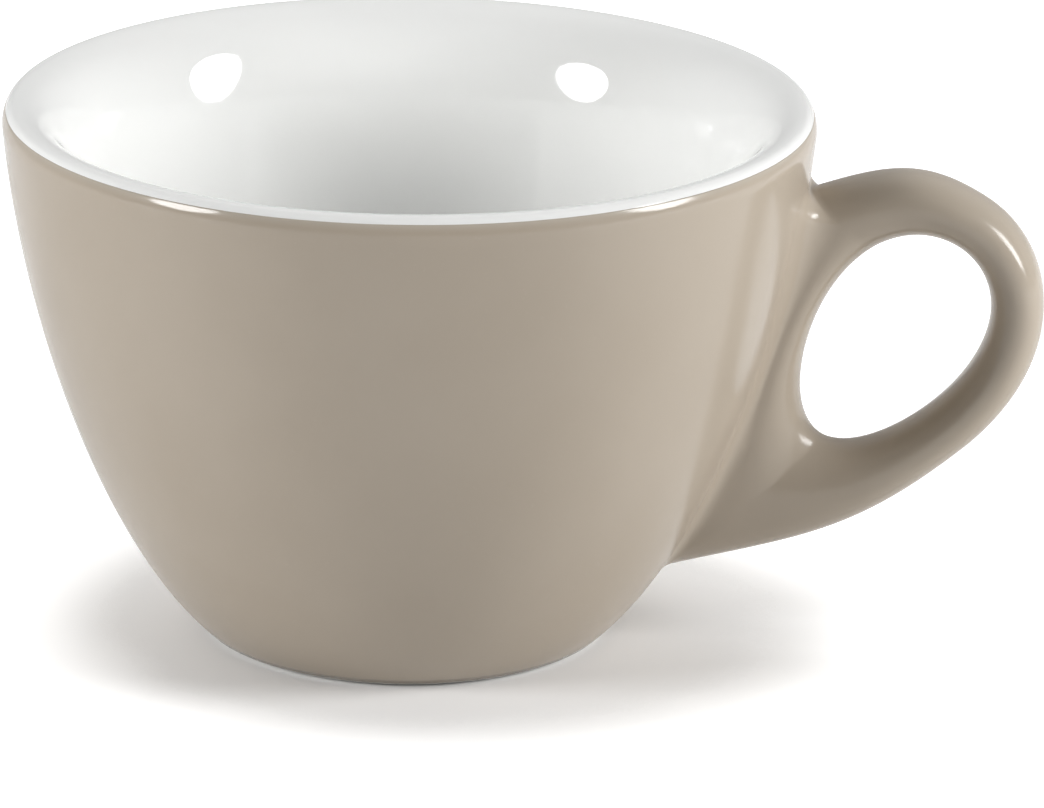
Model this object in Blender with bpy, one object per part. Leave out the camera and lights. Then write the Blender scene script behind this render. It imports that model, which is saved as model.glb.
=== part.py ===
"""Espresso cup in glazed porcelain: a turned bowl, a loop handle stuck on with slip, and the glazes."""

import math

import bmesh
import bpy
from mathutils import Vector

# Bowl, in metres and radians. The outer wall is one curve from the foot to the rim.
HEIGHT = 0.0537
RIM_RADIUS = 0.0400
FOOT_RADIUS = 0.01955
FOOT_LEAN = math.radians(50.7)
FOOT_PULL = 0.0134
RIM_LEAN = math.radians(4.3)
RIM_PULL = 0.0212
RIM_ROUND = 0.0012

# Inside: a long rounding thins the wall to the lip, and one curve goes down from it to the floor.
LIP_WIDTH = 0.0069
LIP_DEPTH = 0.0138
INNER_LEAN = math.radians(8)
INNER_PULL = 0.0180
FLOOR_PULL = 0.0235
FLOOR_HEIGHT = 0.0075

# Foot ring that the cup stands on, and the hollow inside it.
FOOT_RING_WIDTH = 0.0028
FOOT_CHAMFER = 0.0005
RECESS_DEPTH = 0.0020
RECESS_ROUND = 0.0012

# Handle: a loop round an egg-shaped eye. It hangs from its upper root on the wall.
UPPER_ROOT_DROP = 0.0076
UPPER_ROOT_RISE = math.radians(19)
LOWER_ROOT_HEIGHT = 0.0070
LOWER_ROOT_RISE = math.radians(15)
EYE_DROP = 0.0150
EYE_LENGTH = 0.0240
EYE_WIDTH = 0.0155
EYE_TILT = math.radians(56.6)
EYE_SWELL = 0.17
EYE_UPPER_END = math.radians(52)
SPINE_THICKNESS = 0.0038
GRIP_THICKNESS = 0.0052
HANDLE_WIDTH = 0.0085
SECTION_POWER = 2.3
END_FILLET = 0.0005
SIDE_FILLET = 0.0014
FLANK_SHARE = 1 / 3
OUTLINE_PULL = 0.44
LOOP_START = 0.32
LOOP_END = 0.78

# Coats and joint. The outer glaze goes some way up the rounding of the rim, to the border with the inner one.
GLAZE = 0.00035
BORDER_RISE = math.radians(30)
SLIP = 0.0005
CLEARANCE = 0.0003
GLAZE_LINE = 0.0005
APRON = 0.0015

# Steps along each surface.
ROOT_COLUMNS = 3
NEAR_COLUMNS = 12
FAR_COLUMNS = 15
ROOT_ROWS = 10
LOWER_ROWS = 3
UPPER_ROWS = 3
INNER_ROWS = 10
ROUND_STEPS = 3
LIP_STEPS = 5
LOOP_STEPS = 22
FILLET_STEPS = 3
APRON_STEPS = 3
CUTTER_MARGIN = 0.004
MERGE = 0.000002

UPPER_ROOT_HEIGHT = HEIGHT - UPPER_ROOT_DROP
BODY_INSET = GLAZE + CLEARANCE
QUARTER = math.pi / 2
HALF_COLUMNS = ROOT_COLUMNS + NEAR_COLUMNS + FAR_COLUMNS


def lerp(first, last, share):
    return first + (last - first) * share


def heading(angle):
    return Vector((math.cos(angle), math.sin(angle)))


def bezier(knots, share):
    """Point and right-hand normal of a cubic curve in the plane."""
    a, b, c, d = knots
    rest = 1 - share
    point = a * rest**3 + b * (3 * rest**2 * share) + c * (3 * rest * share**2) + d * share**3
    slope = (b - a) * rest**2 + (c - b) * (2 * rest * share) + (d - c) * share**2
    return point, Vector((slope.y, -slope.x)).normalized()


def inset_point(edge, depth):
    """Point of an outline, given with its normal, moved into the material by a depth."""
    point, normal = edge
    return point - normal * depth


def wall_knots():
    foot = Vector((FOOT_RADIUS, 0))
    rim = Vector((RIM_RADIUS, HEIGHT))
    return (
        foot,
        foot + heading(QUARTER - FOOT_LEAN) * FOOT_PULL,
        rim - heading(QUARTER - RIM_LEAN) * RIM_PULL,
        rim,
    )


def inner_knots():
    top = lip_edge(math.pi - INNER_LEAN)[0]
    return (
        top,
        top - heading(QUARTER - INNER_LEAN) * INNER_PULL,
        Vector((FLOOR_PULL, FLOOR_HEIGHT)),
        Vector((0, FLOOR_HEIGHT)),
    )


def share_where(test):
    """Share of a curve, from 0 to 1, at which test stops being true."""
    low, high = 0.0, 1.0
    for _ in range(40):
        middle = (low + high) / 2
        if test(middle):
            low = middle
        else:
            high = middle
    return low


def wall_at(height):
    """Point and outward normal of the outer wall at a height."""
    knots = wall_knots()
    return bezier(knots, share_where(lambda share: bezier(knots, share)[0].y < height))


def wall_foot(point):
    """Height of the place on the outer wall that is nearest to a point outside it."""
    knots = wall_knots()

    def below(share):
        place, normal = bezier(knots, share)
        return (point - place).dot(Vector((-normal.y, normal.x))) > 0

    return bezier(knots, share_where(below))[0].y


def wall_end():
    """Point and outward normal of the outer wall where the rounding of the rim starts."""
    knots = wall_knots()
    centre_height = HEIGHT - RIM_ROUND
    share = share_where(lambda part: inset_point(bezier(knots, part), RIM_ROUND).y < centre_height)
    return bezier(knots, share)


def rim_start():
    """Angle at which the rounding of the rim leaves the outer wall."""
    normal = wall_end()[1]
    return math.atan2(normal.y, normal.x)


def rim_centre():
    return inset_point(wall_end(), RIM_ROUND)


def lip_edge(angle):
    """Point and normal of the lip, a quarter of an ellipse, where its normal stands at an angle."""
    centre = Vector((rim_centre().x, HEIGHT - LIP_DEPTH))
    turn = math.atan2(LIP_DEPTH * math.sin(angle), LIP_WIDTH * math.cos(angle))
    return centre + Vector((LIP_WIDTH * math.cos(turn), LIP_DEPTH * math.sin(turn))), heading(angle)


def root_top():
    return UPPER_ROOT_HEIGHT + END_FILLET + APRON


def root_bottom():
    return LOWER_ROOT_HEIGHT - END_FILLET - APRON


def steps(first, last, count):
    return [lerp(first, last, i / count) for i in range(count + 1)]


def row_heights():
    """Heights of the wall's rows from the glaze line to the rim, with rows on the edges of the root."""
    foot = steps(GLAZE_LINE, root_bottom(), LOWER_ROWS)
    root = steps(root_bottom(), root_top(), ROOT_ROWS)
    rim = steps(root_top(), wall_end()[0].y, UPPER_ROWS)
    return foot + root[1:] + rim[1:]


def round_outline(centre, radius, start, stop):
    return [(centre + heading(angle) * radius, heading(angle)) for angle in steps(start, stop, ROUND_STEPS)]


def border_outline():
    """Rim from the outer wall up to the border between the glazes, as points with normals."""
    return round_outline(rim_centre(), RIM_ROUND, rim_start(), BORDER_RISE)


def rim_outline(start):
    """Rim from an angle on its rounding over the lip to the inner wall, as points with normals."""
    rounding = round_outline(rim_centre(), RIM_ROUND, start, QUARTER)
    lip = [lip_edge(angle) for angle in steps(QUARTER, math.pi - INNER_LEAN, LIP_STEPS)]
    return rounding + lip[1:]


def inner_outline():
    return [bezier(inner_knots(), share) for share in steps(0, 1, INNER_ROWS)]


def recess_outline():
    """Underside hollow from its middle to the glaze line on the foot ring, as points with normals."""
    side = FOOT_RADIUS - FOOT_CHAMFER - FOOT_RING_WIDTH
    corner = Vector((side - RECESS_ROUND, RECESS_DEPTH - RECESS_ROUND))
    middle = (Vector((0, RECESS_DEPTH)), Vector((0, -1)))
    rounding = [
        (corner + heading(angle) * RECESS_ROUND, -heading(angle)) for angle in steps(QUARTER, 0, ROUND_STEPS)
    ]
    return [middle] + rounding + [(Vector((side, GLAZE_LINE)), Vector((-1, 0)))]


def inset(outline, depth):
    """Outline moved into the material by a depth."""
    return [inset_point(edge, depth) for edge in outline]


def eye_point(turn):
    """Point of the eye and its normal, away from the eye, at a turn from its upper outer end."""
    along = heading(EYE_TILT)
    across = heading(EYE_TILT + QUARTER)
    centre_height = UPPER_ROOT_HEIGHT - EYE_DROP
    reach = wall_at(centre_height)[0].x + SPINE_THICKNESS + EYE_WIDTH / 2
    centre = Vector((reach, centre_height))
    half_length = EYE_LENGTH / 2
    half_width = EYE_WIDTH / 2
    swell = 1 + EYE_SWELL * math.cos(turn)
    point = centre + along * (half_length * math.cos(turn)) + across * (half_width * swell * math.sin(turn))
    slope = along * (-half_length * math.sin(turn)) + across * (
        half_width * (swell * math.cos(turn) - EYE_SWELL * math.sin(turn) ** 2)
    )
    return point, Vector((slope.y, -slope.x)).normalized()


def loop_turn(share):
    return lerp(-math.pi, EYE_UPPER_END, share)


def loop_point(share):
    """Outside of the grip, one thickness out from the eye, and its direction of travel."""
    point, normal = eye_point(loop_turn(share))
    return point + normal * GRIP_THICKNESS, Vector((-normal.y, normal.x))


def root_curve(height, rise, end, travel, share):
    """Outline of the handle from the fillet of a root (0) to where it joins the loop (1)."""
    root = wall_at(height)[0] + heading(rise) * END_FILLET
    pull = (end - root).length * OUTLINE_PULL
    return bezier((root, root + heading(rise) * pull, end + travel * pull, end), share)[0]


def handle_outline(share):
    """Outside of the handle from its lower root (0) round to its upper root (1)."""
    if LOOP_START <= share <= LOOP_END:
        return loop_point(share)[0]
    if share < LOOP_START:
        end, travel = loop_point(LOOP_START)
        return root_curve(LOWER_ROOT_HEIGHT, LOWER_ROOT_RISE, end, -travel, share / LOOP_START)
    end, travel = loop_point(LOOP_END)
    return root_curve(UPPER_ROOT_HEIGHT, UPPER_ROOT_RISE, end, travel, (1 - share) / (1 - LOOP_END))


def section_point(eye, outside, turn):
    """Point of a handle section. Turn 0 is its outside, a quarter its side and a half the eye."""
    power = 2 / SECTION_POWER
    across = math.copysign(abs(math.cos(turn)) ** power, math.cos(turn))
    side = math.sin(turn) ** power if turn < math.pi else 0.0
    place = lerp(eye, outside, (1 + across) / 2)
    return Vector((place.x, HANDLE_WIDTH / 2 * side, place.y))


def loop_section(share, turn):
    return section_point(eye_point(loop_turn(share))[0], handle_outline(share), turn)


def spine_section(share, turn):
    """Strip of the handle that runs down the wall, from the upper root (0) to the lower root (1)."""
    eye = eye_point(lerp(EYE_UPPER_END, math.pi, share))[0]
    outside = lerp(handle_outline(1), handle_outline(0), share)
    return section_point(eye, outside, turn)


def root_edge(step):
    """Edge of the handle above its fillet, its turn from the root's end, and that end's height and way."""
    last = 2 * ROOT_COLUMNS + ROOT_ROWS
    if step <= ROOT_COLUMNS:
        turn = QUARTER * step / ROOT_COLUMNS
        return loop_section(1, turn), turn, UPPER_ROOT_HEIGHT, 1
    if step >= last - ROOT_COLUMNS:
        turn = QUARTER * (last - step) / ROOT_COLUMNS
        return loop_section(0, turn), turn, LOWER_ROOT_HEIGHT, -1
    share = (step - ROOT_COLUMNS) / ROOT_ROWS
    return spine_section(share, QUARTER), QUARTER, 0.0, 0


def on_wall(height, side):
    radius = wall_at(height)[0].x
    return Vector((math.sqrt(radius**2 - side**2), side, height))


def fillet_point(step, share):
    """Flank of the handle (0) down to its fillet and over that to the wall (1)."""
    edge, turn, root_height, way = root_edge(step)
    sideways = math.sin(turn) ** 2
    size = lerp(END_FILLET, SIDE_FILLET, sideways)
    corner_height = lerp(root_height, wall_foot(Vector((edge.x, edge.z))), sideways)
    corner = on_wall(corner_height, edge.y)
    end = on_wall(corner_height + way * size * math.cos(turn), edge.y + size * math.sin(turn))
    flank = edge - corner
    start = corner + flank * min(1, size / flank.length)
    if share < FLANK_SHARE:
        return lerp(edge, start, share / FLANK_SHARE)
    part = (share - FLANK_SHARE) / (1 - FLANK_SHARE)
    rest = 1 - part
    return start * rest**2 + corner * (2 * part * rest) + end * part**2


def root_angle():
    """Half of the angle that the root's field on the wall takes up."""
    half_width = HANDLE_WIDTH / 2 + SIDE_FILLET + APRON
    return math.asin(half_width / wall_at(LOWER_ROOT_HEIGHT)[0].x)


def field_edge(step):
    """Angle and height along the edge of the root's field, from above the handle to below it."""
    last = 2 * ROOT_COLUMNS + ROOT_ROWS
    if step <= ROOT_COLUMNS:
        return root_angle() * step / ROOT_COLUMNS, root_top()
    if step >= last - ROOT_COLUMNS:
        return root_angle() * (last - step) / ROOT_COLUMNS, root_bottom()
    return root_angle(), lerp(root_top(), root_bottom(), (step - ROOT_COLUMNS) / ROOT_ROWS)


def apron_point(step, share):
    """Wall between the fillet (0) and the edge of the root's field (1)."""
    inner = fillet_point(step, 1)
    angle, height = field_edge(step)
    return bowl_point(lerp(math.atan2(inner.y, inner.x), angle, share), lerp(inner.z, height, share))


def turned_point(angle, point):
    return Vector((point.x * math.cos(angle), point.x * math.sin(angle), point.y))


def bowl_point(angle, height):
    return turned_point(angle, wall_at(height)[0])


def patch(mesh, across, along, place):
    """Grid of across by along faces, with each corner put where place(i, j) says."""
    grid = bmesh.ops.create_grid(mesh, x_segments=across, y_segments=along, size=0.5)
    for vert in grid["verts"]:
        i = round((vert.co.x + 0.5) * across)
        j = round((vert.co.y + 0.5) * along)
        vert.co = place(i, j)


def skin():
    """Outside of the glazed cup from the glaze line to the border, bowl and handle in one sheet."""
    mesh = bmesh.new()
    heights = row_heights()
    border = inset(border_outline(), 0)
    angles = steps(0, root_angle(), ROOT_COLUMNS)
    angles += steps(root_angle(), QUARTER, NEAR_COLUMNS)[1:]
    angles += steps(QUARTER, math.pi, FAR_COLUMNS)[1:]
    edge_steps = 2 * ROOT_COLUMNS + ROOT_ROWS
    section_steps = 2 * ROOT_COLUMNS
    above = LOWER_ROWS + ROOT_ROWS
    patch(mesh, ROOT_COLUMNS, LOWER_ROWS, lambda i, j: bowl_point(angles[i], heights[j]))
    patch(mesh, ROOT_COLUMNS, UPPER_ROWS, lambda i, j: bowl_point(angles[i], heights[above + j]))
    patch(
        mesh,
        HALF_COLUMNS - ROOT_COLUMNS,
        len(heights) - 1,
        lambda i, j: bowl_point(angles[ROOT_COLUMNS + i], heights[j]),
    )
    patch(mesh, HALF_COLUMNS, ROUND_STEPS, lambda i, j: turned_point(angles[i], border[j]))
    patch(mesh, edge_steps, APRON_STEPS, lambda i, j: apron_point(i, j / APRON_STEPS))
    patch(mesh, edge_steps, FILLET_STEPS, lambda i, j: fillet_point(i, j / FILLET_STEPS))
    patch(
        mesh,
        LOOP_STEPS,
        section_steps,
        lambda i, j: loop_section(i / LOOP_STEPS, math.pi * j / section_steps),
    )
    patch(
        mesh,
        ROOT_ROWS,
        ROOT_COLUMNS,
        lambda i, j: spine_section(i / ROOT_ROWS, QUARTER * (1 + j / ROOT_COLUMNS)),
    )
    bmesh.ops.remove_doubles(mesh, verts=mesh.verts, dist=MERGE)
    bmesh.ops.mirror(mesh, geom=mesh.verts[:] + mesh.edges[:] + mesh.faces[:], axis="Y", merge_dist=MERGE)
    bmesh.ops.remove_doubles(mesh, verts=mesh.verts, dist=MERGE)
    bmesh.ops.recalc_face_normals(mesh, faces=mesh.faces)
    return mesh


def turned(profile):
    """Solid of revolution of a closed profile of (radius, height) points."""
    mesh = bmesh.new()
    verts = [mesh.verts.new((point.x, 0, point.y)) for point in profile]
    ends = verts[1:] + verts[:1]
    edges = [mesh.edges.new(pair) for pair in zip(verts, ends) if max(pair[0].co.x, pair[1].co.x) > MERGE]
    bmesh.ops.spin(
        mesh,
        geom=verts + edges,
        cent=(0, 0, 0),
        axis=(0, 0, 1),
        angle=2 * math.pi,
        steps=2 * HALF_COLUMNS,
        use_merge=True,
    )
    bmesh.ops.remove_doubles(mesh, verts=mesh.verts, dist=MERGE)
    bmesh.ops.recalc_face_normals(mesh, faces=mesh.faces)
    return mesh


def material(name, colour, roughness):
    made = bpy.data.materials.new(name)
    made.use_nodes = True
    shader = made.node_tree.nodes["Principled BSDF"]
    shader.inputs["Base Color"].default_value = (*colour, 1)
    shader.inputs["Roughness"].default_value = roughness
    shader.inputs["Metallic"].default_value = 0.0
    return made


def add(name, mesh, finish, parent):
    """Object of a mesh, standing on the cup's axis."""
    data = bpy.data.meshes.new(name)
    mesh.to_mesh(data)
    mesh.free()
    data.shade_smooth()
    data.set_sharp_from_angle(angle=math.radians(40))
    made = bpy.data.objects.new(name, data)
    bpy.context.scene.collection.objects.link(made)
    made.parent = parent
    if finish:
        data.materials.append(finish)
    else:
        made.hide_render = True
        made.display_type = "WIRE"
    return made


def cut(piece, operation, cutter):
    modifier = piece.modifiers.new(cutter.name, "BOOLEAN")
    modifier.operation = operation
    modifier.object = cutter
    modifier.solver = "EXACT"


def wall_profile(depth):
    """Outer wall at a depth below the glaze, from the rim down to the glaze line."""
    return inset([wall_at(height) for height in reversed(row_heights())], depth)


def cup_body():
    rim = inset(rim_outline(rim_start()), BODY_INSET)
    inside = inset(inner_outline(), BODY_INSET)
    under = inset(recess_outline(), BODY_INSET)
    foot_out = FOOT_RADIUS - FOOT_CHAMFER - BODY_INSET
    foot_in = under[-1].x
    standing = [Vector((foot_in, 0)), Vector((foot_out, 0))]
    outside = wall_profile(BODY_INSET)[::-1]
    return turned(outside + rim[1:] + inside[1:] + under + standing)


def coat(outline):
    """Glaze over a stretch of outline."""
    return turned(inset(outline, 0) + inset(outline, GLAZE)[::-1])


def inner_glaze():
    gap = CLEARANCE / (RIM_ROUND - GLAZE)
    return coat(rim_outline(BORDER_RISE + gap) + inner_outline()[1:])


def handle_form():
    """Porcelain under the outer glaze, bowl and handle in one, closed at the rim and the foot."""
    mesh = skin()
    edges = [edge for edge in mesh.edges if edge.is_boundary]
    bmesh.ops.holes_fill(mesh, edges=edges, sides=0)
    bmesh.ops.recalc_face_normals(mesh, faces=mesh.faces)
    mesh.normal_update()
    moves = [vert.normal * (vert.calc_shell_factor() * BODY_INSET) for vert in mesh.verts]
    for vert, move in zip(mesh.verts, moves):
        vert.co -= move
    return mesh


def wall_block(depth):
    """Everything inside the outer wall at a depth, from below the foot to above the rim."""
    wall = wall_profile(depth)
    top = HEIGHT + CUTTER_MARGIN
    bottom = -CUTTER_MARGIN
    ends = [Vector((wall[-1].x, bottom)), Vector((0, bottom)), Vector((0, top)), Vector((wall[0].x, top))]
    return turned(wall + ends)


def slip_layer(depth):
    """Thin shell that follows the outer wall, one slip thick."""
    return turned(wall_profile(depth - SLIP) + wall_profile(depth)[::-1])


def build():
    for old in list(bpy.data.objects):
        bpy.data.objects.remove(old)

    porcelain = material("porcelain", (0.82, 0.80, 0.76), 0.55)
    slip = material("slip", (0.74, 0.71, 0.66), 0.75)
    taupe = material("taupe_glaze", (0.47, 0.41, 0.34), 0.12)
    white = material("white_glaze", (0.86, 0.87, 0.86), 0.10)

    outside = skin()
    reach = max(vert.co.x for vert in outside.verts)
    width = max(-vert.co.x for vert in outside.verts)
    axis = bpy.data.objects.new("cup_axis", None)
    axis.location.x = (width - reach) / 2
    bpy.context.scene.collection.objects.link(axis)

    add("cup_body", cup_body(), porcelain, axis)
    add("inner_glaze", inner_glaze(), white, axis)
    add("base_glaze", coat(recess_outline()), taupe, axis)

    outer_glaze = add("outer_glaze", outside, taupe, axis)
    thickness = outer_glaze.modifiers.new("coat", "SOLIDIFY")
    thickness.thickness = GLAZE
    thickness.offset = -1
    thickness.use_even_offset = True

    slip_depth = BODY_INSET - CLEARANCE
    root_block = add("root_block", wall_block(slip_depth - SLIP - CLEARANCE), None, axis)
    slip_shell = add("slip_shell", slip_layer(slip_depth), None, axis)

    handle = add("handle", handle_form(), porcelain, axis)
    cut(handle, "DIFFERENCE", root_block)

    handle_slip = add("handle_slip", handle_form(), slip, axis)
    cut(handle_slip, "INTERSECT", slip_shell)


build()
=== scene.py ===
"""Looks of the espresso cup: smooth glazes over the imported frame, white paper, soft lights and the camera."""

import functools
import math

import bmesh
import bpy
from mathutils import Matrix, Vector


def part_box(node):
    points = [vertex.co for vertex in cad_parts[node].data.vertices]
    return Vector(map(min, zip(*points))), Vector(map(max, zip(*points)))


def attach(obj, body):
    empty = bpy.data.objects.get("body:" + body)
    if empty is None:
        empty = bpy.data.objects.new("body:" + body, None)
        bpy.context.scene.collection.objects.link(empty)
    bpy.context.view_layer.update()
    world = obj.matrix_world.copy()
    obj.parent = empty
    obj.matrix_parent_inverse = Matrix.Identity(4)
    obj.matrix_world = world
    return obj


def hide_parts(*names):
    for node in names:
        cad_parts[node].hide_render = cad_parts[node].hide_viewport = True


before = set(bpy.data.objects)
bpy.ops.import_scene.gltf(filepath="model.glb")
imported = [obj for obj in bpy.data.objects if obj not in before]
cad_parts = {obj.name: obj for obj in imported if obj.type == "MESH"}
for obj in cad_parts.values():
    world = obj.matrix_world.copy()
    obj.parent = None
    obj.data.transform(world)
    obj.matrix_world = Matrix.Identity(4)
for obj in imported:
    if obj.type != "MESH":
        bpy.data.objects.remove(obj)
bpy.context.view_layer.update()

# Bowl, in metres and radians. The shapes are those of the frame's solids, drawn in finer steps.
HEIGHT = 0.0537
RIM_RADIUS = 0.04008
FOOT_RADIUS = 0.01955
FOOT_LEAN = math.radians(50.7)
FOOT_PULL = 0.0134
RIM_LEAN = math.radians(4.3)
RIM_PULL = 0.0212
LIP_WIDTH = 0.0069
LIP_DEPTH = 0.0138
INNER_LEAN = math.radians(8)
INNER_PULL = 0.0180
FLOOR_PULL = 0.0235
FLOOR_HEIGHT = 0.0075
FOOT_RING_WIDTH = 0.0028
FOOT_CHAMFER = 0.0005
RECESS_DEPTH = 0.0020
RECESS_ROUND = 0.0012

# Outside rounding of the rim, an oval that is taller than the solid's.
RIM_ROUND = 0.0012
RIM_DROP = 0.0020

# Handle. The fillets beside it are softer than the solid's.
UPPER_ROOT_DROP = 0.0076
UPPER_ROOT_RISE = math.radians(19)
LOWER_ROOT_HEIGHT = 0.0070
LOWER_ROOT_RISE = math.radians(15)
EYE_DROP = 0.0150
EYE_LENGTH = 0.0240
EYE_WIDTH = 0.0155
EYE_TILT = math.radians(56.6)
EYE_SWELL = 0.17
EYE_UPPER_END = math.radians(52)
SPINE_THICKNESS = 0.0038
GRIP_THICKNESS = 0.0052
HANDLE_WIDTH = 0.0085
SECTION_POWER = 2.3
END_FILLET = 0.0005
UPPER_SIDE_FILLET = 0.0036
LOWER_SIDE_FILLET = 0.0015
FLANK_SHARE = 1 / 3
OUTLINE_PULL = 0.44
LOOP_START = 0.32
LOOP_END = 0.78

# Coats. The two glazes meet at the border, with no gap between them, and the outer one ends
# at the glaze line, where the bare foot starts a hair below it.
GLAZE = 0.00035
CLEARANCE = 0.0003
BORDER_RISE = math.radians(30)
GLAZE_LINE = 0.0005
SHELF_DROP = 0.00003
APRON = 0.0015

# Steps along each surface.
ROOT_COLUMNS = 12
NEAR_COLUMNS = 42
FAR_COLUMNS = 54
ROOT_ROWS = 44
LOWER_ROWS = 8
UPPER_ROWS = 8
INNER_ROWS = 60
ROUND_STEPS = 10
LIP_STEPS = 48
LOOP_STEPS = 150
FILLET_STEPS = 15
APRON_STEPS = 6
HALVINGS = 40
MERGE = 0.000001
SHARP_ANGLE = math.radians(40)

# Share of its width that the round cup keeps, so that it stays inside the box of the faceted solids.
INSIDE_BOX = 0.9989

QUARTER = math.pi / 2
UPPER_ROOT_HEIGHT = HEIGHT - UPPER_ROOT_DROP
BODY_INSET = GLAZE + CLEARANCE
HALF_COLUMNS = ROOT_COLUMNS + NEAR_COLUMNS + FAR_COLUMNS
EDGE_STEPS = 2 * ROOT_COLUMNS + ROOT_ROWS

# Camera, in the photograph's own frame of pixels.
FRAME_WIDTH = 1044
FRAME_HEIGHT = 808
FOCAL_PIXELS = 8096
TARGET_PIXEL = (407.2, 362.8)
VIEW_DISTANCE = 0.800
VIEW_TURN = math.radians(5)
VIEW_RISE = math.radians(17.87)
VIEW_ROLL = math.radians(0.57)
SENSOR_WIDTH = 36

# Grain of the finishes, in waves per metre: drifts of colour, pinholes, wiped gloss and ripple.
CLOUD_SCALE = 34
SPECK_SCALE = 1900
HANDLING_SCALE = 120
RIPPLE_SCALE = 210
SPECK_SHARE = 0.35

# Taupe glaze, glossiest near the rim, with a lighter band over the rim's rounding that is a painted highlight
# and a darker band at the foot that is painted shade.
TAUPE_IOR = 1.44
# Painted highlight: a lighter taupe over the rim's rounding, just below the border, where the rounding mirrors
# the lights.
PAINTED_RIM_HIGHLIGHT = (0.50, 0.455, 0.39)
PAINTED_RIM_HIGHLIGHT_SHARE = 0.7
PAINTED_RIM_HIGHLIGHT_START = HEIGHT - 0.0014
PAINTED_RIM_HIGHLIGHT_END = HEIGHT - 0.0004
# Painted shade: a darker taupe at the bottom of the outer wall, where the cup meets the paper.
PAINTED_FOOT_SHADE = (0.36, 0.306, 0.248)
PAINTED_FOOT_SHADE_SHARE = 0.6
PAINTED_FOOT_SHADE_START = 0.0016
DULL_END = HEIGHT - 0.0060
DULL_START = HEIGHT - 0.0030
DULLNESS = 0.08

# Room, from the camera's side to behind the cup, and the share of the paper's glow that mirrors show.
ROOM_FRONT = -0.3
ROOM_BACK = 0.7
FRONT_GLOW = 0.05
BACK_GLOW = 0.45
MIRRORED_SHARE = 0.25

# Paper, with its glow in the shade of the cup and in the open.
PAPER_RADIUS = 3
PAPER_COLOUR = (0.85, 0.85, 0.85)
SHADE_REACH = 0.12
SHADE_SKY = 0.50
OPEN_SKY = 0.69
SHADE_GLOW = 0.05
OPEN_GLOW = 0.58


def lerp(first, last, share):
    return first + (last - first) * share


def heading(angle):
    return Vector((math.cos(angle), math.sin(angle)))


def direction(normal):
    return math.atan2(normal.y, normal.x)


def steps(first, last, count):
    return [lerp(first, last, i / count) for i in range(count + 1)]


def bezier(knots, share):
    """Point and right-hand normal of a cubic curve in the plane."""
    a, b, c, d = knots
    rest = 1 - share
    point = a * rest**3 + b * (3 * rest**2 * share) + c * (3 * rest * share**2) + d * share**3
    slope = (b - a) * rest**2 + (c - b) * (2 * rest * share) + (d - c) * share**2
    return point, Vector((slope.y, -slope.x)).normalized()


def inset(outline, depth):
    """Points of an outline of points with normals, moved into the material by a depth."""
    return [point - normal * depth for point, normal in outline]


def share_where(test):
    """Share of a curve, from 0 to 1, at which test stops being true."""
    low, high = 0.0, 1.0
    for _ in range(HALVINGS):
        middle = (low + high) / 2
        if test(middle):
            low = middle
        else:
            high = middle
    return low


# Outline of the bowl.
@functools.cache
def wall_knots():
    foot = Vector((FOOT_RADIUS, 0))
    rim = Vector((RIM_RADIUS, HEIGHT))
    return (
        foot,
        foot + heading(QUARTER - FOOT_LEAN) * FOOT_PULL,
        rim - heading(QUARTER - RIM_LEAN) * RIM_PULL,
        rim,
    )


@functools.cache
def wall_at(height):
    """Point and outward normal of the outer wall at a height."""
    knots = wall_knots()
    return bezier(knots, share_where(lambda share: bezier(knots, share)[0].y < height))


def wall_foot(point):
    """Height of the place on the outer wall that is nearest to a point outside it."""
    knots = wall_knots()

    def below(share):
        place, normal = bezier(knots, share)
        return (point - place).dot(Vector((-normal.y, normal.x))) > 0

    return bezier(knots, share_where(below))[0].y


def oval_point(width, depth, angle):
    """Point of an ellipse, from its centre, where its normal stands at an angle."""
    turn = math.atan2(depth * math.sin(angle), width * math.cos(angle))
    return Vector((width * math.cos(turn), depth * math.sin(turn)))


def round_centre(edge):
    """Centre of the rim's rounding if it starts at an edge of the outer wall."""
    point, normal = edge
    return point - oval_point(RIM_ROUND, RIM_DROP, direction(normal))


@functools.cache
def wall_end():
    """Point and outward normal of the outer wall where the rounding of the rim starts."""
    knots = wall_knots()
    share = share_where(lambda part: round_centre(bezier(knots, part)).y < HEIGHT - RIM_DROP)
    return bezier(knots, share)


def rim_start():
    return direction(wall_end()[1])


def rim_centre():
    return round_centre(wall_end())


def lip_edge(angle):
    """Point and normal of the lip, a quarter of an ellipse, where its normal stands at an angle."""
    centre = Vector((rim_centre().x, HEIGHT - LIP_DEPTH))
    return centre + oval_point(LIP_WIDTH, LIP_DEPTH, angle), heading(angle)


def round_outline(start, stop):
    """Rounding of the rim between two angles of its normal."""
    angles = steps(start, stop, ROUND_STEPS)
    return [(rim_centre() + oval_point(RIM_ROUND, RIM_DROP, angle), heading(angle)) for angle in angles]


def border_outline():
    """Rim from the outer wall up to the border between the glazes."""
    return round_outline(rim_start(), BORDER_RISE)


def rim_outline(start):
    """Rim from an angle on its rounding over the lip to the inner wall."""
    rounding = round_outline(start, QUARTER)
    lip = [lip_edge(angle) for angle in steps(QUARTER, math.pi - INNER_LEAN, LIP_STEPS)]
    return rounding + lip[1:]


def inner_outline():
    """Inside of the bowl from the lip down to the middle of its floor."""
    top = lip_edge(math.pi - INNER_LEAN)[0]
    knots = (
        top,
        top - heading(QUARTER - INNER_LEAN) * INNER_PULL,
        Vector((FLOOR_PULL, FLOOR_HEIGHT)),
        Vector((0, FLOOR_HEIGHT)),
    )
    return [bezier(knots, share) for share in steps(0, 1, INNER_ROWS)]


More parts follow.
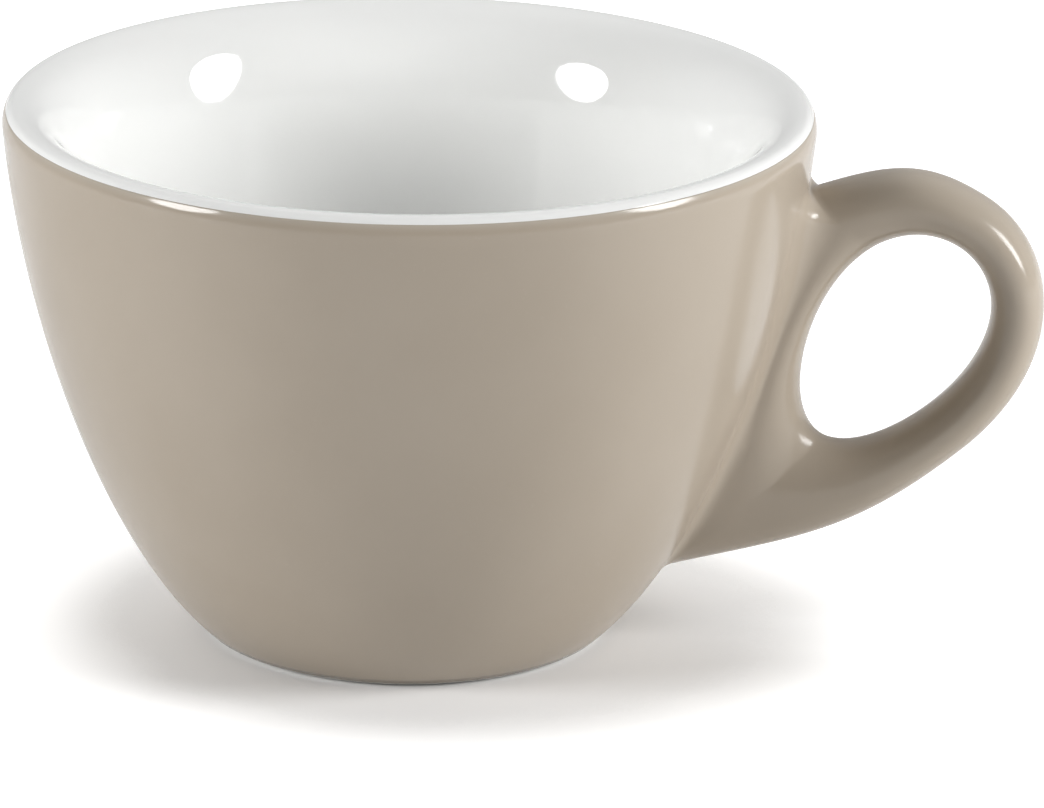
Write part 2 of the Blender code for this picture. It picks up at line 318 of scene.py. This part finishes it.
def recess_outline():
    """Underside hollow from its middle to the glaze line on the foot ring."""
    side = FOOT_RADIUS - FOOT_CHAMFER - FOOT_RING_WIDTH
    corner = Vector((side - RECESS_ROUND, RECESS_DEPTH - RECESS_ROUND))
    middle = (Vector((0, RECESS_DEPTH)), Vector((0, -1)))
    angles = steps(QUARTER, 0, ROUND_STEPS)
    rounding = [(corner + heading(angle) * RECESS_ROUND, -heading(angle)) for angle in angles]
    return [middle] + rounding + [(Vector((side, GLAZE_LINE)), Vector((-1, 0)))]


# Surfaces of the handle.
@functools.cache
def eye_point(turn):
    """Point of the eye and its normal, away from the eye, at a turn from its upper outer end."""
    along = heading(EYE_TILT)
    across = heading(EYE_TILT + QUARTER)
    centre_height = UPPER_ROOT_HEIGHT - EYE_DROP
    reach = wall_at(centre_height)[0].x + SPINE_THICKNESS + EYE_WIDTH / 2
    centre = Vector((reach, centre_height))
    half_length = EYE_LENGTH / 2
    half_width = EYE_WIDTH / 2
    swell = 1 + EYE_SWELL * math.cos(turn)
    point = centre + along * (half_length * math.cos(turn)) + across * (half_width * swell * math.sin(turn))
    slope = along * (-half_length * math.sin(turn)) + across * (
        half_width * (swell * math.cos(turn) - EYE_SWELL * math.sin(turn) ** 2)
    )
    return point, Vector((slope.y, -slope.x)).normalized()


def loop_turn(share):
    return lerp(-math.pi, EYE_UPPER_END, share)


def loop_point(share):
    """Outside of the grip, one thickness out from the eye, and its direction of travel."""
    point, normal = eye_point(loop_turn(share))
    return point + normal * GRIP_THICKNESS, Vector((-normal.y, normal.x))


def root_curve(height, rise, end, travel, share):
    """Outline of the handle from the fillet of a root (0) to where it joins the loop (1)."""
    root = wall_at(height)[0] + heading(rise) * END_FILLET
    pull = (end - root).length * OUTLINE_PULL
    return bezier((root, root + heading(rise) * pull, end + travel * pull, end), share)[0]


@functools.cache
def handle_outline(share):
    """Outside of the handle from its lower root (0) round to its upper root (1)."""
    if LOOP_START <= share <= LOOP_END:
        return loop_point(share)[0]
    if share < LOOP_START:
        end, travel = loop_point(LOOP_START)
        return root_curve(LOWER_ROOT_HEIGHT, LOWER_ROOT_RISE, end, -travel, share / LOOP_START)
    end, travel = loop_point(LOOP_END)
    return root_curve(UPPER_ROOT_HEIGHT, UPPER_ROOT_RISE, end, travel, (1 - share) / (1 - LOOP_END))


def section_point(eye, outside, turn):
    """Point of a handle section. Turn 0 is its outside, a quarter its side and a half the eye."""
    power = 2 / SECTION_POWER
    across = math.copysign(abs(math.cos(turn)) ** power, math.cos(turn))
    side = math.sin(turn) ** power if turn < math.pi else 0.0
    place = lerp(eye, outside, (1 + across) / 2)
    return Vector((place.x, HANDLE_WIDTH / 2 * side, place.y))


def loop_section(share, turn):
    return section_point(eye_point(loop_turn(share))[0], handle_outline(share), turn)


def spine_section(share, turn):
    """Strip of the handle that runs down the wall, from the upper root (0) to the lower root (1)."""
    eye = eye_point(lerp(EYE_UPPER_END, math.pi, share))[0]
    outside = lerp(handle_outline(1), handle_outline(0), share)
    return section_point(eye, outside, turn)


@functools.cache
def root_edge(step):
    """Edge of the handle above its fillet, its turn from the root's end, and that end's height and way."""
    if step <= ROOT_COLUMNS:
        turn = QUARTER * step / ROOT_COLUMNS
        return loop_section(1, turn), turn, UPPER_ROOT_HEIGHT, 1
    if step >= EDGE_STEPS - ROOT_COLUMNS:
        turn = QUARTER * (EDGE_STEPS - step) / ROOT_COLUMNS
        return loop_section(0, turn), turn, LOWER_ROOT_HEIGHT, -1
    share = (step - ROOT_COLUMNS) / ROOT_ROWS
    return spine_section(share, QUARTER), QUARTER, 0.0, 0


def on_wall(height, side):
    """Place on the outer wall at a height and a distance to the side of the handle's middle."""
    radius = wall_at(height)[0].x
    return Vector((math.sqrt(radius**2 - side**2), side, height))


def wall_normal(place):
    """Outward normal of the outer wall at a place on it."""
    profile = wall_at(place.z)[1]
    side = Vector((place.x, place.y)).normalized() * profile.x
    return Vector((side.x, side.y, profile.y))


def side_fillet(step):
    """Size of the fillet beside the handle, which is soft at the upper root and crisp at the lower one."""
    share = min(max((step - ROOT_COLUMNS) / ROOT_ROWS, 0), 1)
    return lerp(UPPER_SIDE_FILLET, LOWER_SIDE_FILLET, share**2 * (3 - 2 * share))


@functools.cache
def fillet_curve(step):
    """Edge of the flank, and the start, corner and end of the fillet between the handle and the wall."""
    edge, turn, root_height, way = root_edge(step)
    sideways = math.sin(turn) ** 2
    size = lerp(END_FILLET, side_fillet(step), sideways)
    corner_height = lerp(root_height, wall_foot(Vector((edge.x, edge.z))), sideways)
    corner = on_wall(corner_height, edge.y)
    end = on_wall(corner_height + way * size * math.cos(turn), edge.y + size * math.sin(turn))
    flank = edge - corner
    start = corner + flank * min(1, size / flank.length)
    normal = wall_normal(end)
    corner = corner + flank * ((end - corner).dot(normal) / flank.dot(normal))
    return edge, start, corner, end


def fillet_point(step, share):
    """Flank of the handle (0) down to its fillet and over that to the wall (1)."""
    edge, start, corner, end = fillet_curve(step)
    if share < FLANK_SHARE:
        return lerp(edge, start, share / FLANK_SHARE)
    part = (share - FLANK_SHARE) / (1 - FLANK_SHARE)
    rest = 1 - part
    return start * rest**2 + corner * (2 * part * rest) + end * part**2


# Field of the root, the part of the wall that makes room for the handle.
def root_top():
    return UPPER_ROOT_HEIGHT + END_FILLET + APRON


def root_bottom():
    return LOWER_ROOT_HEIGHT - END_FILLET - APRON


@functools.cache
def root_angle():
    """Half of the angle that the root's field on the wall takes up."""
    half_width = HANDLE_WIDTH / 2 + LOWER_SIDE_FILLET + APRON
    return math.asin(half_width / wall_at(LOWER_ROOT_HEIGHT)[0].x)


def row_heights():
    """Heights of the wall's rows from the glaze line to the rim, with rows on the edges of the root."""
    foot = steps(GLAZE_LINE, root_bottom(), LOWER_ROWS)
    root = steps(root_bottom(), root_top(), ROOT_ROWS)
    rim = steps(root_top(), wall_end()[0].y, UPPER_ROWS)
    return foot + root[1:] + rim[1:]


def field_edge(step):
    """Angle and height along the edge of the root's field, from above the handle to below it."""
    if step <= ROOT_COLUMNS:
        return root_angle() * step / ROOT_COLUMNS, root_top()
    if step >= EDGE_STEPS - ROOT_COLUMNS:
        return root_angle() * (EDGE_STEPS - step) / ROOT_COLUMNS, root_bottom()
    return root_angle(), lerp(root_top(), root_bottom(), (step - ROOT_COLUMNS) / ROOT_ROWS)


def turned_point(angle, point):
    return Vector((point.x * math.cos(angle), point.x * math.sin(angle), point.y))


def bowl_point(angle, height):
    return turned_point(angle, wall_at(height)[0])


def apron_point(step, share):
    """Wall between the fillet (0) and the edge of the root's field (1)."""
    inner = fillet_point(step, 1)
    angle, height = field_edge(step)
    return bowl_point(lerp(math.atan2(inner.y, inner.x), angle, share), lerp(inner.z, height, share))


# Meshes.
def weld(mesh):
    bmesh.ops.remove_doubles(mesh, verts=mesh.verts, dist=MERGE)


def patch(mesh, across, along, place):
    """Grid of across by along faces, with each corner put where place(i, j) says."""
    grid = bmesh.ops.create_grid(mesh, x_segments=across, y_segments=along, size=0.5)
    for vert in grid["verts"]:
        i = round((vert.co.x + 0.5) * across)
        j = round((vert.co.y + 0.5) * along)
        vert.co = place(i, j)


def glazed_outside():
    """Outside of the glazed cup from the glaze line to the border, bowl and handle in one sheet."""
    mesh = bmesh.new()
    heights = row_heights()
    border = inset(border_outline(), 0)
    angles = steps(0, root_angle(), ROOT_COLUMNS)
    angles += steps(root_angle(), QUARTER, NEAR_COLUMNS)[1:]
    angles += steps(QUARTER, math.pi, FAR_COLUMNS)[1:]
    section_steps = 2 * ROOT_COLUMNS
    above = LOWER_ROWS + ROOT_ROWS
    patch(mesh, ROOT_COLUMNS, LOWER_ROWS, lambda i, j: bowl_point(angles[i], heights[j]))
    patch(mesh, ROOT_COLUMNS, UPPER_ROWS, lambda i, j: bowl_point(angles[i], heights[above + j]))
    patch(
        mesh,
        HALF_COLUMNS - ROOT_COLUMNS,
        len(heights) - 1,
        lambda i, j: bowl_point(angles[ROOT_COLUMNS + i], heights[j]),
    )
    patch(mesh, HALF_COLUMNS, ROUND_STEPS, lambda i, j: turned_point(angles[i], border[j]))
    patch(mesh, EDGE_STEPS, APRON_STEPS, lambda i, j: apron_point(i, j / APRON_STEPS))
    patch(mesh, EDGE_STEPS, FILLET_STEPS, lambda i, j: fillet_point(i, j / FILLET_STEPS))
    patch(
        mesh,
        LOOP_STEPS,
        section_steps,
        lambda i, j: loop_section(i / LOOP_STEPS, math.pi * j / section_steps),
    )
    patch(
        mesh,
        ROOT_ROWS,
        ROOT_COLUMNS,
        lambda i, j: spine_section(i / ROOT_ROWS, QUARTER * (1 + j / ROOT_COLUMNS)),
    )
    weld(mesh)
    bmesh.ops.mirror(mesh, geom=mesh.verts[:] + mesh.edges[:] + mesh.faces[:], axis="Y", merge_dist=MERGE)
    weld(mesh)
    bmesh.ops.recalc_face_normals(mesh, faces=mesh.faces)
    return mesh


def turned(profile):
    """Solid of revolution of a closed profile of (radius, height) points."""
    mesh = bmesh.new()
    verts = [mesh.verts.new((point.x, 0, point.y)) for point in profile]
    ends = verts[1:] + verts[:1]
    edges = [mesh.edges.new(pair) for pair in zip(verts, ends) if max(pair[0].co.x, pair[1].co.x) > MERGE]
    bmesh.ops.spin(
        mesh,
        geom=verts + edges,
        cent=(0, 0, 0),
        axis=(0, 0, 1),
        angle=2 * math.pi,
        steps=2 * HALF_COLUMNS,
        use_merge=True,
    )
    weld(mesh)
    bmesh.ops.recalc_face_normals(mesh, faces=mesh.faces)
    return mesh


def coat(outline):
    """Glaze over a stretch of outline."""
    return turned(inset(outline, 0) + inset(outline, GLAZE)[::-1])


def porcelain_body():
    """Bowl under the glazes, bare on the standing edge of the foot ring."""
    outside = inset([wall_at(height) for height in row_heights()], BODY_INSET)
    rim = inset(rim_outline(rim_start()), BODY_INSET)
    inside = inset(inner_outline(), BODY_INSET)
    under = inset(recess_outline(), BODY_INSET)
    shelf = wall_at(GLAZE_LINE - SHELF_DROP)[0]
    standing = [Vector((under[-1].x, 0)), Vector((FOOT_RADIUS - FOOT_CHAMFER, 0)), shelf]
    return turned(outside + rim[1:] + inside[1:] + under + standing)


# Node groups and finishes.
def node(tree, kind, **settings):
    """Node of a kind, with its settings."""
    made = tree.nodes.new(kind)
    for name, value in settings.items():
        setattr(made, name, value)
    return made


def wire(tree, source, target):
    tree.links.new(source, target)


def noise(tree, vector, scale, detail):
    made = node(tree, "ShaderNodeTexNoise")
    made.inputs["Scale"].default_value = scale
    made.inputs["Detail"].default_value = detail
    wire(tree, vector, made.inputs["Vector"])
    return made.outputs["Fac"]


def ranged(tree, value, low, high, first, last):
    """Value from low to high, mapped smoothly to first to last."""
    made = node(tree, "ShaderNodeMapRange", interpolation_type="SMOOTHSTEP")
    made.inputs["From Min"].default_value = low
    made.inputs["From Max"].default_value = high
    made.inputs["To Min"].default_value = first
    made.inputs["To Max"].default_value = last
    wire(tree, value, made.inputs["Value"])
    return made.outputs["Result"]


def mixed(tree, factor, first, second):
    """Colour between two others, each a socket or plain red, green and blue."""
    made = node(tree, "ShaderNodeMix", data_type="RGBA")
    wire(tree, factor, made.inputs["Factor"])
    for source, target in ((first, made.inputs[6]), (second, made.inputs[7])):
        if isinstance(source, tuple):
            target.default_value = (*source, 1)
        else:
            wire(tree, source, target)
    return made.outputs[2]


def glaze_group():
    """Clouded colour, uneven gloss and a faint ripple of a fired surface."""
    group = bpy.data.node_groups.new("fired_glaze", "ShaderNodeTree")
    sockets = (
        ("Place", "INPUT", "NodeSocketVector"),
        ("Thin", "INPUT", "NodeSocketColor"),
        ("Full", "INPUT", "NodeSocketColor"),
        ("Smooth", "INPUT", "NodeSocketFloat"),
        ("Dull", "INPUT", "NodeSocketFloat"),
        ("Color", "OUTPUT", "NodeSocketColor"),
        ("Roughness", "OUTPUT", "NodeSocketFloat"),
        ("Ripple", "OUTPUT", "NodeSocketFloat"),
    )
    for name, way, kind in sockets:
        group.interface.new_socket(name, in_out=way, socket_type=kind)
    taken = node(group, "NodeGroupInput").outputs
    given = node(group, "NodeGroupOutput").inputs
    clouds = ranged(group, noise(group, taken["Place"], CLOUD_SCALE, 3), 0.3, 0.7, 0, 1)
    specks = ranged(group, noise(group, taken["Place"], SPECK_SCALE, 1), 0.66, 0.78, 0, SPECK_SHARE)
    body = mixed(group, clouds, taken["Thin"], taken["Full"])
    wire(group, mixed(group, specks, body, taken["Thin"]), given["Color"])
    handling = ranged(group, noise(group, taken["Place"], HANDLING_SCALE, 4), 0.35, 0.7, 0, 1)
    gloss = node(group, "ShaderNodeMix", data_type="FLOAT")
    wire(group, handling, gloss.inputs["Factor"])
    wire(group, taken["Smooth"], gloss.inputs[2])
    wire(group, taken["Dull"], gloss.inputs[3])
    wire(group, gloss.outputs[0], given["Roughness"])
    wire(group, noise(group, taken["Place"], RIPPLE_SCALE, 2), given["Ripple"])
    return group


def shader_of(look):
    return look.node_tree.nodes["Principled BSDF"]


def finish(name, group, thin, full, smooth, dull, ripple, ior=1.5):
    """Glaze or bare clay of its own colours, range of roughness and depth of ripple in metres."""
    made = bpy.data.materials.new(name)
    made.use_nodes = True
    tree = made.node_tree
    shader = shader_of(made)
    shader.inputs["Metallic"].default_value = 0.0
    shader.inputs["IOR"].default_value = ior
    look = node(tree, "ShaderNodeGroup", node_tree=group)
    look.inputs["Thin"].default_value = (*thin, 1)
    look.inputs["Full"].default_value = (*full, 1)
    look.inputs["Smooth"].default_value = smooth
    look.inputs["Dull"].default_value = dull
    wire(tree, node(tree, "ShaderNodeTexCoord").outputs["Object"], look.inputs["Place"])
    bump = node(tree, "ShaderNodeBump")
    bump.inputs["Strength"].default_value = 1.0
    bump.inputs["Distance"].default_value = ripple
    wire(tree, look.outputs["Ripple"], bump.inputs["Height"])
    wire(tree, bump.outputs["Normal"], shader.inputs["Normal"])
    wire(tree, look.outputs["Roughness"], shader.inputs["Roughness"])
    wire(tree, look.outputs["Color"], shader.inputs["Base Color"])
    return made


def by_height(tree, low, high, first, last):
    """Value that goes smoothly from first at a height in the cup to last at another."""
    apart = node(tree, "ShaderNodeSeparateXYZ")
    wire(tree, node(tree, "ShaderNodeTexCoord").outputs["Object"], apart.inputs["Vector"])
    return ranged(tree, apart.outputs["Z"], low, high, first, last)


def tint_by_height(look, start, end, tint, most):
    """Tints a finish from one height in the cup to another; here it paints a highlight over the rim's rounding
    and shade at the foot.
    """
    tree = look.node_tree
    colour = shader_of(look).inputs["Base Color"]
    share = by_height(tree, start, end, 0, most)
    wire(tree, mixed(tree, share, colour.links[0].from_socket, tint), colour)


def dull_below(look, end, start, dullness):
    """Takes the edge off a finish's gloss from a height in the cup down to a lower one."""
    tree = look.node_tree
    roughness = shader_of(look).inputs["Roughness"]
    total = node(tree, "ShaderNodeMath", operation="ADD")
    wire(tree, roughness.links[0].from_socket, total.inputs[0])
    wire(tree, by_height(tree, end, start, dullness, 0), total.inputs[1])
    wire(tree, total.outputs[0], roughness)


# Cup.
def axis_point(height):
    low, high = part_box("cup_body")
    return Vector(((low.x + high.x) / 2, (low.y + high.y) / 2, height))


def piece(name, mesh, look, slot, *nodes):
    """Finished piece of a mesh on the cup's axis, standing for its nodes of the frame."""
    bmesh.ops.scale(mesh, verts=mesh.verts, vec=(INSIDE_BOX, INSIDE_BOX, 1))
    bmesh.ops.translate(mesh, verts=mesh.verts, vec=axis_point(0))
    data = bpy.data.meshes.new(name)
    mesh.to_mesh(data)
    mesh.free()
    data.shade_smooth()
    data.set_sharp_from_angle(angle=SHARP_ANGLE)
    data.materials.append(look)
    made = bpy.data.objects.new(name, data)
    bpy.context.scene.collection.objects.link(made)
    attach(made, "root")
    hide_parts(*nodes)
    return made


def dress(name, look):
    """Gives a node of the frame that stays a finish of its own."""
    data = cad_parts[name].data
    data.materials.clear()
    data.materials.append(look)


def make_cup():
    group = glaze_group()
    taupe = finish(
        "taupe_glaze",
        group,
        thin=(0.432, 0.374, 0.305),
        full=(0.408, 0.350, 0.281),
        smooth=0.09,
        dull=0.15,
        ripple=0.000003,
        ior=TAUPE_IOR,
    )
    # Painted highlight: lighter taupe over the rim's rounding.
    tint_by_height(taupe, PAINTED_RIM_HIGHLIGHT_START, PAINTED_RIM_HIGHLIGHT_END, PAINTED_RIM_HIGHLIGHT, PAINTED_RIM_HIGHLIGHT_SHARE)
    # Painted shade: darker taupe at the foot.
    tint_by_height(taupe, PAINTED_FOOT_SHADE_START, GLAZE_LINE, PAINTED_FOOT_SHADE, PAINTED_FOOT_SHADE_SHARE)
    dull_below(taupe, DULL_END, DULL_START, DULLNESS)
    white = finish(
        "white_glaze",
        group,
        thin=(0.905, 0.908, 0.893),
        full=(0.885, 0.89, 0.877),
        smooth=0.03,
        dull=0.06,
        ripple=0.000003,
    )
    porcelain = finish(
        "porcelain",
        group,
        thin=(0.80, 0.775, 0.73),
        full=(0.76, 0.735, 0.69),
        smooth=0.5,
        dull=0.65,
        ripple=0.00001,
    )
    slip = finish(
        "slip",
        group,
        thin=(0.74, 0.71, 0.66),
        full=(0.68, 0.65, 0.60),
        smooth=0.7,
        dull=0.85,
        ripple=0.00002,
    )

    outer = piece("taupe_outside", glazed_outside(), taupe, "taupe_glaze", "outer_glaze")
    thickness = outer.modifiers.new("coat", "SOLIDIFY")
    thickness.thickness = GLAZE
    thickness.offset = -1
    thickness.use_even_offset = True
    inside = coat(rim_outline(BORDER_RISE) + inner_outline()[1:])
    piece("white_inside", inside, white, "white_glaze", "inner_glaze")
    piece("taupe_underside", coat(recess_outline()), taupe, "taupe_glaze", "base_glaze")
    piece("bare_body", porcelain_body(), porcelain, "porcelain", "cup_body")
    dress("handle", porcelain)
    dress("handle_slip", slip)


# Studio.
def background_rays(tree):
    """1 for rays that see the paper straight or through glass, a share for mirrored rays, 0 for light."""
    path = node(tree, "ShaderNodeLightPath")
    straight = node(tree, "ShaderNodeMath", operation="MAXIMUM")
    wire(tree, path.outputs["Is Camera Ray"], straight.inputs[0])
    wire(tree, path.outputs["Is Transmission Ray"], straight.inputs[1])
    total = node(tree, "ShaderNodeMath", operation="MULTIPLY_ADD")
    total.inputs[1].default_value = MIRRORED_SHARE
    wire(tree, path.outputs["Is Glossy Ray"], total.inputs[0])
    wire(tree, straight.outputs[0], total.inputs[2])
    return total.outputs[0]


def make_world():
    """Room that is dark on the camera's side and lighter behind the cup."""
    world = bpy.data.worlds.new("studio")
    bpy.context.scene.world = world
    world.use_nodes = True
    tree = world.node_tree
    back = tree.nodes["Background"]
    back.inputs["Color"].default_value = (1, 1, 1, 1)
    turned_room = node(tree, "ShaderNodeVectorRotate", rotation_type="Z_AXIS")
    turned_room.inputs["Angle"].default_value = -VIEW_TURN
    wire(tree, node(tree, "ShaderNodeTexCoord").outputs["Generated"], turned_room.inputs["Vector"])
    apart = node(tree, "ShaderNodeSeparateXYZ")
    wire(tree, turned_room.outputs["Vector"], apart.inputs["Vector"])
    glow = ranged(tree, apart.outputs["Y"], ROOM_FRONT, ROOM_BACK, FRONT_GLOW, BACK_GLOW)
    wire(tree, glow, back.inputs["Strength"])


def make_floor():
    """White paper, which is darker where the cup keeps the room's light from it."""
    mesh = bmesh.new()
    bmesh.ops.create_circle(mesh, cap_ends=True, segments=96, radius=PAPER_RADIUS)
    data = bpy.data.meshes.new("floor")
    mesh.to_mesh(data)
    mesh.free()
    look = bpy.data.materials.new("white_paper")
    look.use_nodes = True
    tree = look.node_tree
    paper = shader_of(look)
    paper.inputs["Base Color"].default_value = (*PAPER_COLOUR, 1)
    paper.inputs["Roughness"].default_value = 0.9
    paper.inputs["Specular IOR Level"].default_value = 0.0
    paper.inputs["Emission Color"].default_value = (1, 1, 1, 1)
    sky = node(tree, "ShaderNodeAmbientOcclusion", samples=32)
    sky.inputs["Distance"].default_value = SHADE_REACH
    glow = node(tree, "ShaderNodeMath", operation="MULTIPLY")
    wire(tree, ranged(tree, sky.outputs["AO"], SHADE_SKY, OPEN_SKY, SHADE_GLOW, OPEN_GLOW), glow.inputs[0])
    wire(tree, background_rays(tree), glow.inputs[1])
    wire(tree, glow.outputs[0], paper.inputs["Emission Strength"])
    data.materials.append(look)
    floor = bpy.data.objects.new("floor", data)
    bpy.context.scene.collection.objects.link(floor)


def towards(turn, rise):
    """Direction at a turn from the camera's side, to the right of it, and a rise above the floor."""
    angle = VIEW_TURN + turn
    return Vector((math.sin(angle) * math.cos(rise), -math.cos(angle) * math.cos(rise), math.sin(rise)))


def make_softbox(name, turn, rise, distance, width, height, brightness, mirrored):
    """Oval light that looks at the middle of the mouth, and shows in the glazes if mirrored."""
    light = bpy.data.lights.new(name, "AREA")
    light.shape = "ELLIPSE"
    light.size = width
    light.size_y = height
    light.energy = brightness * math.pi * width * height * math.pi / 4
    made = bpy.data.objects.new(name, light)
    way = towards(math.radians(turn), math.radians(rise))
    made.location = axis_point(HEIGHT) + way * distance
    made.rotation_mode = "QUATERNION"
    made.rotation_quaternion = (-way).to_track_quat("-Z", "Y")
    made.visible_camera = False
    made.visible_glossy = mirrored
    bpy.context.scene.collection.objects.link(made)


def make_lights():
    """Two softboxes that the glazes mirror, and two weaker fills that they don't."""
    make_softbox(
        "right_softbox",
        turn=74.5,
        rise=21.1,
        distance=0.600,
        width=0.210,
        height=0.320,
        brightness=18.4,
        mirrored=True,
    )
    make_softbox(
        "left_softbox",
        turn=-64.9,
        rise=19.2,
        distance=0.600,
        width=0.210,
        height=0.250,
        brightness=18.0,
        mirrored=True,
    )
    make_softbox(
        "right_fill",
        turn=62,
        rise=5,
        distance=0.600,
        width=0.500,
        height=0.280,
        brightness=1.0,
        mirrored=False,
    )
    make_softbox(
        "back_fill",
        turn=-165,
        rise=38,
        distance=0.700,
        width=1.700,
        height=0.450,
        brightness=1.35,
        mirrored=False,
    )


def make_camera():
    data = bpy.data.cameras.new("camera")
    data.sensor_width = SENSOR_WIDTH
    data.lens = SENSOR_WIDTH * FOCAL_PIXELS / FRAME_WIDTH
    data.shift_x = (FRAME_WIDTH / 2 - TARGET_PIXEL[0]) / FRAME_WIDTH
    data.shift_y = (TARGET_PIXEL[1] - FRAME_HEIGHT / 2) / FRAME_WIDTH
    data.clip_start = 0.01
    data.clip_end = 20
    camera = bpy.data.objects.new("camera", data)
    way = towards(0, VIEW_RISE)
    look = (-way).to_track_quat("-Z", "Y").to_matrix().to_4x4()
    place = Matrix.Translation(axis_point(HEIGHT / 2) + way * VIEW_DISTANCE)
    camera.matrix_world = place @ look @ Matrix.Rotation(VIEW_ROLL, 4, "Z")
    bpy.context.scene.collection.objects.link(camera)
    bpy.context.scene.camera = camera


make_cup()
make_world()
make_floor()
make_lights()
make_camera()
bpy.context.scene.view_settings.view_transform = "Standard"
